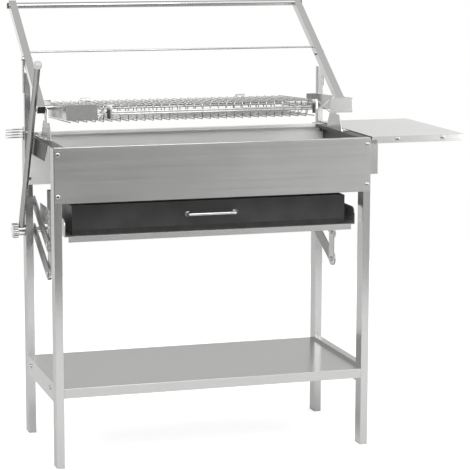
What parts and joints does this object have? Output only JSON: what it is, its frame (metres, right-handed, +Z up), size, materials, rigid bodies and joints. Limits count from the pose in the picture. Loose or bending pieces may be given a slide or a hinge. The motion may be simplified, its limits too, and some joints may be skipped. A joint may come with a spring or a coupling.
{
  "type": "charcoal rotisserie roaster",
  "caption": "Free-standing stainless charcoal roaster: open trough, lever-lifted coal tray with a slide-out pan, mesh basket on a tilting lift frame, folding side shelf.",
  "frame": {"origin": "on the floor, at the centre of the four feet", "axes": "+Z up, +X to the right seen from the front, -Y to the front"},
  "size_m": [1.1515, 0.5937, 1.1599],
  "materials": {
    "stainless": "brushed stainless sheet",
    "tube": "satin stainless tube",
    "bright": "polished stainless",
    "wire": "bright welded wire",
    "pan_black": "black heat enamel",
    "pan_grey": "dark grey enamel, satin",
    "plastic_black": "moulded black plastic",
    "grip": "pale grey moulded cap",
    "bush": "sintered bronze"
  },
  "bodies": {
    "stand": {"leg_front_left": "tube", "leg_front_right": "tube", "leg_rear_left": "tube", "leg_rear_right": "tube", "foot_caps": "plastic_black", "shelf_rail_left": "tube", "shelf_rail_right": "tube", "bottom_shelf": "stainless", "shelf_screws": "bright", "front_panel": "stainless", "rear_panel": "stainless", "side_panel_left": "stainless", "side_panel_right": "stainless", "panel_screws": "bright", "rear_post_left": "tube", "rear_post_right": "tube", "hinge_plate_left": "stainless", "hinge_plate_right": "stainless", "pivot_bolts": "bright", "cradle_left": "stainless", "cradle_right": "stainless", "cradle_screws": "bright", "tool_pegs": "bright", "shaft_bushes": "bush", "arm_pivot_bolts": "bright", "shelf_bracket_front": "stainless", "shelf_bracket_rear": "stainless", "shelf_hinge_rod": "bright"},
    "lift_lever": {"lever_tube": "tube", "lever_cap": "grip", "lever_hub": "bright", "cross_shaft": "bright", "lower_arm_left": "stainless", "lower_arm_right": "stainless"},
    "clamp_knob": {"star_knob": "bright"},
    "upper_arms": {"upper_arm_left": "stainless", "upper_arm_right": "stainless"},
    "tray": {"lift_tray": "stainless", "hanger_left": "stainless", "hanger_right": "stainless", "hanger_pins": "bright", "hanger_bolts": "bright"},
    "pan": {"coal_pan": "pan_black", "pan_face": "pan_grey", "pan_handle": "bright", "handle_screws": "bright"},
    "shelf_flap": {"side_shelf": "stainless", "side_shelf_screws": "bright"},
    "lift_frame": {"frame_bar_left": "tube", "frame_bar_right": "tube", "frame_handle": "tube", "handle_plugs": "plastic_black"},
    "basket": {"carrier_left": "stainless", "carrier_right": "stainless", "basket_axles": "bright", "basket_floor": "wire", "basket_walls": "wire", "lid_hinge_pins": "bright"},
    "basket_lid": {"lid_grille": "wire", "lid_walls": "wire"}
  },
  "joints": [
    {"name": "lift_lever_turn", "type": "hinge", "parent": "stand", "child": "lift_lever", "pos_m": [0, 0.184, 0.556], "axis": [1, 0, 0], "range_deg": [-22, 12]},
    {"name": "clamp_knob_turn", "type": "hinge", "parent": "lift_lever", "child": "clamp_knob", "pos_m": [-0.446, 0.184, 0.556], "axis": [1, 0, 0], "continuous": true},
    {"name": "upper_arms_turn", "type": "hinge", "parent": "stand", "child": "upper_arms", "pos_m": [0, 0.184, 0.631], "axis": [1, 0, 0], "range_deg": [-22, 12]},
    {"name": "tray_level", "type": "hinge", "parent": "lift_lever", "child": "tray", "pos_m": [0, 0.00424, 0.46833], "axis": [1, 0, 0], "range_deg": [-12, 22]},
    {"name": "pan_slide", "type": "slide", "parent": "tray", "child": "pan", "axis": [0, -1, 0], "range_m": [0, 0.25]},
    {"name": "shelf_fold", "type": "hinge", "parent": "stand", "child": "shelf_flap", "pos_m": [0.43, 0, 0.811], "axis": [0, 1, 0], "range_deg": [0, 90]},
    {"name": "frame_lift", "type": "hinge", "parent": "stand", "child": "lift_frame", "pos_m": [0, 0.17392, 1.01489], "axis": [1, 0, 0], "range_deg": [-70, 0]},
    {"name": "basket_level", "type": "hinge", "parent": "lift_frame", "child": "basket", "pos_m": [0, 0.004, 0.902], "axis": [1, 0, 0], "range_deg": [0, 70]},
    {"name": "lid_open", "type": "hinge", "parent": "basket", "child": "basket_lid", "pos_m": [0, 0.16051, 0.90493], "axis": [1, 0, 0], "range_deg": [-80, 0]}
  ],
  "couplings": [
    {"joint": "upper_arms_turn", "follows": "lift_lever_turn", "ratio": 1},
    {"joint": "tray_level", "follows": "lift_lever_turn", "ratio": -1},
    {"joint": "basket_level", "follows": "frame_lift", "ratio": -1}
  ]
}
